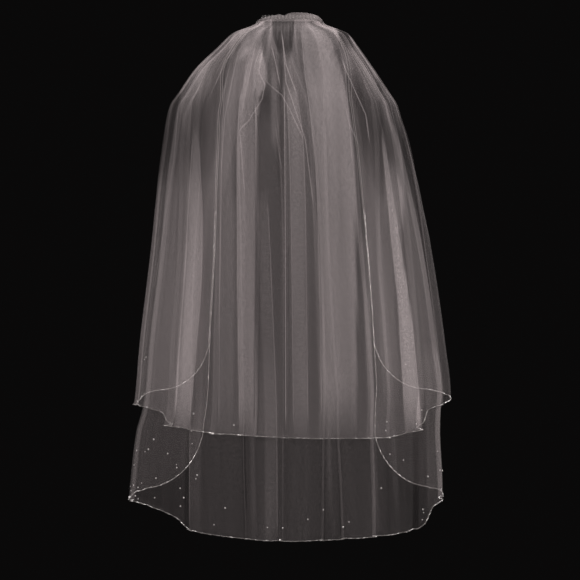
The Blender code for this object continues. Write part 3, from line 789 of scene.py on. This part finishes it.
# bugle beads and seed beads in turn along an edge
def beadTree(finish):
    tree, nodes, links, given = newTree("hemBeads", beads)
    line = nodes.new("GeometryNodeMeshToCurve")
    spots = nodes.new("GeometryNodeCurveToPoints")
    spots.mode = "LENGTH"
    links.new(given.outputs["Geometry"], line.inputs[0])
    links.new(line.outputs[0], spots.inputs["Curve"])
    links.new(given.outputs["Pitch"], spots.inputs["Length"])
    along = nodes.new("FunctionNodeAlignRotationToVector")
    along.axis = "Z"
    links.new(spots.outputs["Tangent"], along.inputs["Vector"])
    rotation = tiltedRotation(nodes, links, along.outputs[0], beads["Tilt"], beadForm["seed"])
    odd = addMath(nodes, links, "MODULO", nodes.new("GeometryNodeInputIndex").outputs[0], 2.0)
    even = addMath(nodes, links, "SUBTRACT", 1.0, odd)
    bugle = nodes.new("GeometryNodeMeshCylinder")
    bugle.inputs["Vertices"].default_value = beadForm["sides"]
    links.new(given.outputs["Bugle radius"], bugle.inputs["Radius"])
    links.new(given.outputs["Bugle length"], bugle.inputs["Depth"])
    seedBead = nodes.new("GeometryNodeMeshIcoSphere")
    seedBead.inputs["Subdivisions"].default_value = beadForm["rounds"]
    links.new(given.outputs["Seed radius"], seedBead.inputs["Radius"])
    joined = nodes.new("GeometryNodeJoinGeometry")
    for shape, chosen in ((bugle, even), (seedBead, odd)):
        spread = nodes.new("GeometryNodeInstanceOnPoints")
        links.new(spots.outputs["Points"], spread.inputs["Points"])
        links.new(chosen, spread.inputs["Selection"])
        links.new(shape.outputs["Mesh"], spread.inputs["Instance"])
        links.new(rotation, spread.inputs["Rotation"])
        links.new(spread.outputs[0], joined.inputs[0])
    closeTree(tree, joined.outputs[0], finish)
    return tree


# cut crystals strewn over the cloth, as dense as its scatter attribute says
def crystalTree(name, seed, finish):
    tree, nodes, links, given = newTree(name, crystals)
    dense = nodes.new("GeometryNodeInputNamedAttribute")
    dense.inputs["Name"].default_value = "scatter"
    strewn = nodes.new("GeometryNodeDistributePointsOnFaces")
    strewn.inputs["Seed"].default_value = seed
    links.new(given.outputs["Geometry"], strewn.inputs["Mesh"])
    links.new(dense.outputs["Attribute"], strewn.inputs["Density"])
    stone = nodes.new("GeometryNodeMeshIcoSphere")
    stone.inputs["Subdivisions"].default_value = crystalForm["rounds"]
    links.new(given.outputs["Radius"], stone.inputs["Radius"])
    flat = nodes.new("GeometryNodeTransform")
    flat.inputs["Scale"].default_value = crystalForm["flat"]
    links.new(stone.outputs["Mesh"], flat.inputs["Geometry"])
    size = randomValue(nodes, "FLOAT", crystals["Least"], crystals["Most"], seed + 1)
    spread = nodes.new("GeometryNodeInstanceOnPoints")
    links.new(strewn.outputs["Points"], spread.inputs["Points"])
    links.new(flat.outputs[0], spread.inputs["Instance"])
    turned = tiltedRotation(nodes, links, strewn.outputs["Rotation"], crystalForm["tilt"], seed + 2)
    links.new(turned, spread.inputs["Rotation"])
    links.new(size, spread.inputs["Scale"])
    closeTree(tree, spread.outputs[0], finish)
    return tree


def hemBeads(name, tree, points):
    lifted = freeEdge(points + gridNormals(points) * edge["beadGap"])
    path, run = evenPath(lifted[lifted[:, 2] < edge["beadsBelow"]], edge["step"])
    helper = newMesh(name + "Path", path, edges=[(i, i + 1) for i in range(len(path) - 1)])
    return runTree(name, newObject(name + "Path", helper), tree, beads)


def strewCrystals(name, row, points, down, seed, finish):
    even, near, nearFade, far, farFade, top = row[1:]
    first = int(np.searchsorted(-points[:, :, 2].max(axis=1), -top))
    grid = (points + gridNormals(points) * crystalForm["lift"])[first:]
    rise = (down[-1] - down)[first:]
    dense = even + near * np.exp(-rise / nearFade) + far * np.exp(-rise / farFade)
    helper = newMesh(name + "Area", grid.reshape(-1, 3), faces=gridQuads(*grid.shape[:2])[1])
    giveValues(helper, "scatter", dense)
    helper.update()
    return runTree(name, newObject(name + "Area", helper), crystalTree(name, seed, finish), crystals)


# the gathered heads of both tiers, bound into one ruched roll behind the comb
def buildRoll(name):
    rng = np.random.default_rng(roll["seed"])
    edges = np.cumsum(rng.uniform(*roll["ridgeWidths"], roll["ridges"])) - roll["half"] - roll["ridgeStart"]
    tall = rng.uniform(*roll["ridgeTall"], roll["ridges"])
    knots, tops = (column(crown, crownColumns, name) for name in crownColumns)
    turn = np.linspace(pi, 0, roll["topPoints"])
    under = np.full(roll["bottomPoints"], roll["bottom"])
    depth = roll["depth"] / 2
    rings = []
    for along in np.linspace(-roll["half"], roll["half"], roll["stations"]):
        top = curveThrough(np.array([along]), knots, tops)[0]
        # the ruching lies a little aslant over the roll
        at = along + roll["slant"] * np.sin(turn * 2 + along * roll["sway"])
        k = np.clip(np.searchsorted(edges, at) - 1, 0, len(edges) - 2)
        t = (at - edges[k]) / (edges[k + 1] - edges[k])
        bump = roll["ridge"] * tall[k] * (np.sqrt(np.abs(np.sin(pi * t))) - roll["ridgeMiddle"])
        bump = bump * ramp(turn, *roll["ridgeFade"])
        taper = ramp(roll["half"] - abs(along), *roll["endFade"])
        reach = depth * (roll["endDepth"] + (1 - roll["endDepth"]) * taper) + bump
        y = roll["front"] - depth + reach * np.cos(turn)
        z = roll["bottom"] + (top - roll["bottom"] + bump) * np.sin(turn) ** roll["squareness"]
        across = np.linspace(y[-1], y[0], roll["bottomPoints"] + 2)[1:-1]
        x = np.full(len(y) + len(across), along)
        rings.append(np.column_stack([x, np.concatenate([y, across]), np.concatenate([z, under])]))
    return loft(name, np.array(rings))


# thread loops that sew the gathers to the comb's spine, two between each pair of teeth
def combStitches(name, finish):
    pitch = 2 * comb["reach"] / (comb["teeth"] - 1)
    gaps = -comb["reach"] + pitch * (np.arange(comb["teeth"] - 1) + 0.5)
    places = [(x + side * comb["loopShift"], *comb["loopPlace"]) for x in gaps for side in (-1, 1)]
    helper = newMesh(name + "Spots", places)
    sizes = {"Thread": comb["thread"], "Width": comb["loopWidth"], "Height": comb["loopHeight"]}
    tree, nodes, links, given = newTree(name, sizes)
    spots = nodes.new("GeometryNodeMeshToPoints")
    links.new(given.outputs["Geometry"], spots.inputs["Mesh"])
    ring = nodes.new("GeometryNodeCurvePrimitiveCircle")
    ring.inputs["Resolution"].default_value = comb["ringPoints"]
    ring.inputs["Radius"].default_value = 0.5
    size = nodes.new("ShaderNodeCombineXYZ")
    size.inputs["Z"].default_value = 1.0
    links.new(given.outputs["Height"], size.inputs["X"])
    links.new(given.outputs["Width"], size.inputs["Y"])
    oval = nodes.new("GeometryNodeTransform")
    links.new(ring.outputs[0], oval.inputs["Geometry"])
    links.new(size.outputs[0], oval.inputs["Scale"])
    upright = nodes.new("GeometryNodeTransform")
    upright.inputs["Rotation"].default_value = (0.0, pi / 2, 0.0)
    links.new(oval.outputs[0], upright.inputs["Geometry"])
    strand = nodes.new("GeometryNodeCurvePrimitiveCircle")
    strand.inputs["Resolution"].default_value = comb["threadSides"]
    links.new(given.outputs["Thread"], strand.inputs["Radius"])
    loop = nodes.new("GeometryNodeCurveToMesh")
    links.new(upright.outputs[0], loop.inputs["Curve"])
    links.new(strand.outputs[0], loop.inputs["Profile Curve"])
    spread = nodes.new("GeometryNodeInstanceOnPoints")
    links.new(spots.outputs[0], spread.inputs["Points"])
    links.new(loop.outputs[0], spread.inputs["Instance"])
    least = tuple(-turn for turn in comb["loose"])
    loose = randomValue(nodes, "FLOAT_VECTOR", least, comb["loose"], comb["seed"])
    links.new(loose, spread.inputs["Rotation"])
    closeTree(tree, spread.outputs[0], finish)
    return runTree(name, newObject(name + "Spots", helper), tree, sizes)


# Materials. Each is a small node tree on the piece's own coordinates.
def newMaterial(name, surface):
    made = bpy.data.materials.new(name)
    made.use_nodes = True
    nodes, links = made.node_tree.nodes, made.node_tree.links
    shader = nodes["Principled BSDF"]
    for key, value in surface.items():
        shader.inputs[key].default_value = value
    return made, nodes, links, shader


def addNode(nodes, kind, inputs=(), **settings):
    node = nodes.new(kind)
    for key, value in settings.items():
        setattr(node, key, value)
    for key, value in dict(inputs).items():
        node.inputs[key].default_value = value
    return node


def addMath(nodes, links, operation, *terms, clamp=False):
    node = addNode(nodes, "ShaderNodeMath", operation=operation, use_clamp=clamp)
    for port, term in zip(node.inputs, terms):
        if hasattr(term, "is_output"):
            links.new(term, port)
        else:
            port.default_value = term
    return node.outputs[0]


def addNoise(nodes, links, place, inputs, **settings):
    noise = addNode(nodes, "ShaderNodeTexNoise", inputs, **settings)
    links.new(place, noise.inputs["Vector"])
    return noise.outputs[0]


def addRange(nodes, links, value, least, most, start=0.0, end=1.0):
    span = addNode(
        nodes, "ShaderNodeMapRange", {"From Min": start, "From Max": end, "To Min": least, "To Max": most}
    )
    links.new(value, span.inputs["Value"])
    return span.outputs["Result"]


def addTint(nodes, links, value, shader, look):
    tint = addNode(nodes, "ShaderNodeValToRGB")
    for element, name, place in zip(tint.color_ramp.elements, ("dark", "pale"), look.get("ends", (0.0, 1.0))):
        element.color = (*look[name], 1.0)
        element.position = place
    links.new(value, tint.inputs[0])
    links.new(tint.outputs[0], shader.inputs["Base Color"])


def addRelief(nodes, links, height, shader, strength, distance):
    relief = addNode(nodes, "ShaderNodeBump", {"Strength": strength, "Distance": distance})
    links.new(height, relief.inputs["Height"])
    links.new(relief.outputs[0], shader.inputs["Normal"])


def ownPlace(nodes):
    return addNode(nodes, "ShaderNodeTexCoord").outputs["Object"]


tulleColor = (0.93, 0.852, 0.862, 1.0)
tulleLook = {
    "surface": {"Base Color": tulleColor, "Roughness": 0.85, "Sheen Weight": 0.35, "Sheen Roughness": 0.4},
    "cover": 0.036,             # how much of the light one flat layer of net stops
    "netPitch": 0.0016,         # from hole to hole
    "netTurns": (0.0, 60.0, 120.0),
    "netContrast": 0.40,
    "slant": 0.25,
    "closing": 0.45,            # how much more it covers at a slant
    "streaks": (30.0, 1.3, 1.0),             # soft creases to a metre, across and down
    "streakNoise": {"Scale": 1.0, "Detail": 3.0, "Roughness": 0.6},
    "streakSharp": 5.0,
    "streakContrast": (0.05, 0.020, 0.28),   # least, how much more for each layer, most
    "mottle": 0.32,
    "mottleNoise": {"Scale": 190.0, "Detail": 1.0},
}


def tulleMaterial(name, seedShift):
    made, nodes, links, shader = newMaterial(name, tulleLook["surface"])
    uv = addNode(nodes, "ShaderNodeUVMap", uv_map="cut").outputs[0]
    full = addNode(nodes, "ShaderNodeAttribute", attribute_name="fullness").outputs["Fac"]
    # three crossed waves make the six-sided holes of the net
    waves = None
    for turn in tulleLook["netTurns"]:
        way = [part(radians(turn)) * 2 * pi / tulleLook["netPitch"] for part in (np.cos, np.sin)]
        dot = addNode(nodes, "ShaderNodeVectorMath", {1: (*way, 0.0)}, operation="DOT_PRODUCT")
        links.new(uv, dot.inputs[0])
        wave = addMath(nodes, links, "COSINE", dot.outputs["Value"])
        waves = wave if waves is None else addMath(nodes, links, "ADD", waves, wave)
    net = addMath(nodes, links, "MULTIPLY_ADD", waves, -tulleLook["netContrast"] / 1.5, 1.0)
    # crease lines that run down the cloth from the gathers
    place = {"Location": (seedShift, seedShift, 0.0), "Scale": tulleLook["streaks"]}
    stretch = addNode(nodes, "ShaderNodeMapping", place)
    links.new(uv, stretch.inputs["Vector"])
    streak = addNoise(nodes, links, stretch.outputs[0], tulleLook["streakNoise"], noise_dimensions="2D")
    strong = tulleLook["streakSharp"]
    sharp = addMath(nodes, links, "MULTIPLY_ADD", streak, strong, -strong / 2)
    least, more, most = tulleLook["streakContrast"]
    contrast = addMath(nodes, links, "MULTIPLY_ADD", full, more, least)
    contrast = addMath(nodes, links, "MINIMUM", contrast, most)
    lift = addMath(nodes, links, "EXPONENT", addMath(nodes, links, "MULTIPLY", sharp, contrast))
    # two layers of net over each other look mottled
    mottle = addNoise(nodes, links, uv, tulleLook["mottleNoise"], noise_dimensions="2D")
    uneven = tulleLook["mottle"]
    patch = addMath(nodes, links, "MULTIPLY_ADD", mottle, 2 * uneven, 1.0 - uneven)
    # the net closes up where it is seen at a slant, which gives folded edges their sheen
    slant = addNode(nodes, "ShaderNodeLayerWeight", {"Blend": tulleLook["slant"]}).outputs["Fresnel"]
    closing = addMath(nodes, links, "MULTIPLY_ADD", slant, tulleLook["closing"], 1.0)
    # the shell has two sides, so each stands for half of the layers
    layers = addMath(nodes, links, "MULTIPLY", full, 0.5)
    for factor in (net, lift, patch, closing):
        layers = addMath(nodes, links, "MULTIPLY", layers, factor)
    clear = addMath(nodes, links, "POWER", 1.0 - tulleLook["cover"], layers)
    links.new(addMath(nodes, links, "SUBTRACT", 1.0, clear, clamp=True), shader.inputs["Alpha"])
    return made


threadLook = {
    "surface": {"Base Color": (0.86, 0.82, 0.80, 1.0), "Roughness": 0.5, "Sheen Weight": 0.5},
    "stitch": 0.0011,
    "stitchWeight": 0.35,
    "fuzz": {"Scale": 420.0, "Detail": 2.0},
    "cover": (0.20, 0.52, 0.25, 0.75),      # from and to, where the stitch runs from and to
    "relief": (0.6, 0.0002),
}


# satin stitches round the rolled edge, with gaps between them
def threadMaterial(name):
    made, nodes, links, shader = newMaterial(name, threadLook["surface"])
    along = addNode(nodes, "ShaderNodeAttribute", attribute_name="along").outputs["Fac"]
    turns = addMath(nodes, links, "MULTIPLY", along, 2 * pi / threadLook["stitch"])
    wave = addMath(nodes, links, "SINE", turns)
    fuzz = addNoise(nodes, links, ownPlace(nodes), threadLook["fuzz"])
    uneven = addMath(nodes, links, "MULTIPLY_ADD", wave, threadLook["stitchWeight"], fuzz)
    links.new(addRange(nodes, links, uneven, *threadLook["cover"]), shader.inputs["Alpha"])
    addRelief(nodes, links, uneven, shader, *threadLook["relief"])
    return made


glassLook = {
    "surface": {"Metallic": 0.42, "Coat Weight": 1.0, "Coat Roughness": 0.04},
    "change": {"Scale": 130.0, "Detail": 1.0},
    # the pale end of the beads' tint is a painted glint: the beads it reaches are drawn bright all over
    "dark": (0.28, 0.27, 0.26), "pale": (0.97, 0.95, 0.94), "ends": (0.50, 0.64), "roughness": (0.10, 0.32),
}
crystalLook = {
    "surface": {"Metallic": 0.2, "Roughness": 0.3, "Coat Weight": 1.0, "Coat Roughness": 0.03},
    "change": {"Scale": 300.0, "Detail": 1.0},
    "dark": (0.62, 0.60, 0.60), "pale": (0.98, 0.96, 0.95),
}


# glass beads on a silver lining, mostly dark, with glints painted as pale base colour on some of them, and
# pale cut crystals with shiny facets
def glassMaterial(name, look):
    made, nodes, links, shader = newMaterial(name, look["surface"])
    change = addNoise(nodes, links, ownPlace(nodes), look["change"])
    # for the beads the pale part of the tint is a painted glint, for the crystals it is their own pale tone
    addTint(nodes, links, change, shader, look)
    if "roughness" in look:
        links.new(addRange(nodes, links, change, *look["roughness"]), shader.inputs["Roughness"])
    return made


combLook = {
    "surface": {"Roughness": 0.16, "Coat Weight": 0.6},
    "milk": {"Scale": 90.0, "Detail": 2.0},
    "dark": (0.66, 0.65, 0.64), "pale": (0.80, 0.79, 0.78), "cover": (0.015, 0.05), "rim": (0.35, 0.06),
}


# clear moulded plastic, a little milky, with moulding marks, and a painted reflection: its edges seen at a
# slant are drawn more solid and pale
def combMaterial(name):
    made, nodes, links, shader = newMaterial(name, combLook["surface"])
    milk = addNoise(nodes, links, ownPlace(nodes), combLook["milk"])
    addTint(nodes, links, milk, shader, combLook)
    blend, more = combLook["rim"]
    # painted reflection: the plastic is drawn more solid where its surface is seen at a slant
    facing = addNode(nodes, "ShaderNodeLayerWeight", {"Blend": blend}).outputs["Facing"]
    cover = addRange(nodes, links, milk, *combLook["cover"])
    rim = addMath(nodes, links, "MULTIPLY", facing, more)
    links.new(addMath(nodes, links, "ADD", cover, rim, clamp=True), shader.inputs["Alpha"])
    return made


# Each range is from and to, and where in the noise or the roll (m) it runs from and to
boundLook = {
    "surface": {"Base Color": tulleColor, "Roughness": 0.85, "Sheen Weight": 0.35},
    "stretch": (620.0, 130.0, 130.0),
    "pleats": {"Scale": 1.0, "Detail": 3.0, "Roughness": 0.6},
    "cover": (0.085, 0.12, 0.3, 0.7),
    "slant": (0.3, 0.05),
    "rise": (0.75, 1.0, -0.0078, -0.0010),
    "outward": (1.0, 1.2, 0.012, 0.045),
    "rightward": (1.0, 1.4, 0.008, 0.045),
    "relief": (0.2, 0.0004),
}


# many loose layers of net, seen through each other
def boundMaterial(name):
    made, nodes, links, shader = newMaterial(name, boundLook["surface"])
    coords = ownPlace(nodes)
    along = addNode(nodes, "ShaderNodeMapping", {"Scale": boundLook["stretch"]})
    links.new(coords, along.inputs["Vector"])
    pleats = addNoise(nodes, links, along.outputs[0], boundLook["pleats"])
    blend, more = boundLook["slant"]
    facing = addNode(nodes, "ShaderNodeLayerWeight", {"Blend": blend}).outputs["Facing"]
    cover = addRange(nodes, links, pleats, *boundLook["cover"])
    alpha = addMath(nodes, links, "ADD", cover, addMath(nodes, links, "MULTIPLY", facing, more), clamp=True)
    # the roll runs out softly into the gathers under it, with more bound in near its ends, at the right most
    place = addNode(nodes, "ShaderNodeSeparateXYZ")
    links.new(coords, place.inputs[0])
    rise = addRange(nodes, links, place.outputs["Z"], *boundLook["rise"])
    away = addMath(nodes, links, "ABSOLUTE", place.outputs["X"])
    outward = addRange(nodes, links, away, *boundLook["outward"])
    rightward = addRange(nodes, links, place.outputs["X"], *boundLook["rightward"])
    layered = addMath(nodes, links, "MULTIPLY", rise, addMath(nodes, links, "MULTIPLY", outward, rightward))
    links.new(addMath(nodes, links, "MULTIPLY", alpha, layered), shader.inputs["Alpha"])
    addRelief(nodes, links, pleats, shader, *boundLook["relief"])
    return made


edgeThread = threadMaterial("edgeThread")
beadGlass = glassMaterial("beadGlass", glassLook)
crystalGlass = glassMaterial("crystalGlass", crystalLook)
beadMaker = beadTree(beadGlass)
for tier, row, seedShift, seed in ((upperTier, scatter[1], 0.0, 41), (lowerTier, scatter[0], 7.3, 61)):
    short = tier["hem"]
    piece, points, down, cutArea = buildTier(tier)
    tulle = tulleMaterial(short + "Tulle", seedShift)
    piece.data.materials.append(tulle)
    pressed = buildCreases(tier, points)
    pressed.data.materials.append(tulle)
    thread = sweepThread(short + "_edge", freeEdge(points), edge["thread"], edge["sides"])
    thread.data.materials.append(edgeThread)
    strung = hemBeads(short + "_beads", beadMaker, points)
    strewn = strewCrystals(short + "_crystals", row, points, down, seed, crystalGlass)
    trims = [pressed, thread, strung, strewn]
    for made, kind in zip((piece, *trims), ("tulle", "tulle", "edge_thread", "glass_beads", "glass_beads")):
        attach(made, "root")
    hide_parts(tier["node"])
print("tulle done")

rollPiece = buildRoll("gathered_heads")
rollPiece.data.materials.append(boundMaterial("boundTulle"))
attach(rollPiece, "root")
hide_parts("gather_band")
stitches = combStitches("comb_stitches", edgeThread)
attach(stitches, "root")
combPlastic = combMaterial("combPlastic")
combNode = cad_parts["comb"]
combNode.data.materials.clear()
combNode.data.materials.append(combPlastic)
print("comb done")

# Studio
camera = bpy.data.objects.new("camera", bpy.data.cameras.new("camera"))
scene.collection.objects.link(camera)
camera.location = studio["eye"]
camera.rotation_euler = (pi / 2, 0.0, 0.0)
camera.data.lens = studio["lens"]
camera.data.clip_end = studio["farthest"]
scene.camera = camera

bpy.ops.mesh.primitive_circle_add(
    vertices=studio["floorSides"], radius=studio["floorRadius"], fill_type="NGON",
    location=(0, 0, studio["floorLevel"]),
)
floor = bpy.context.object
floor.name = "floor"
floorLook = {"Base Color": (*studio["floorColor"], 1.0), "Roughness": studio["floorRoughness"]}
floor.data.materials.append(newMaterial("floorPaint", floorLook)[0])

world = scene.world or bpy.data.worlds.new("world")
scene.world = world
world.use_nodes = True
backdrop = world.node_tree.nodes["Background"]
backdrop.inputs["Color"].default_value = (*studio["backdropColor"], 1.0)
backdrop.inputs["Strength"].default_value = 1.0

for name, place, width, watts, color in lamps:
    data = bpy.data.lights.new(name, "AREA")
    data.shape = "DISK"
    data.size = width
    data.energy = watts
    data.color = color
    lamp = bpy.data.objects.new(name, data)
    scene.collection.objects.link(lamp)
    lamp.location = place
    toward = Vector(studio["aim"]) - Vector(place)
    lamp.rotation_euler = toward.to_track_quat("-Z", "Y").to_euler()
scene.view_settings.view_transform = "Standard"
scene.cycles.transparent_max_bounces = studio["layersSeen"]
print("studio done")
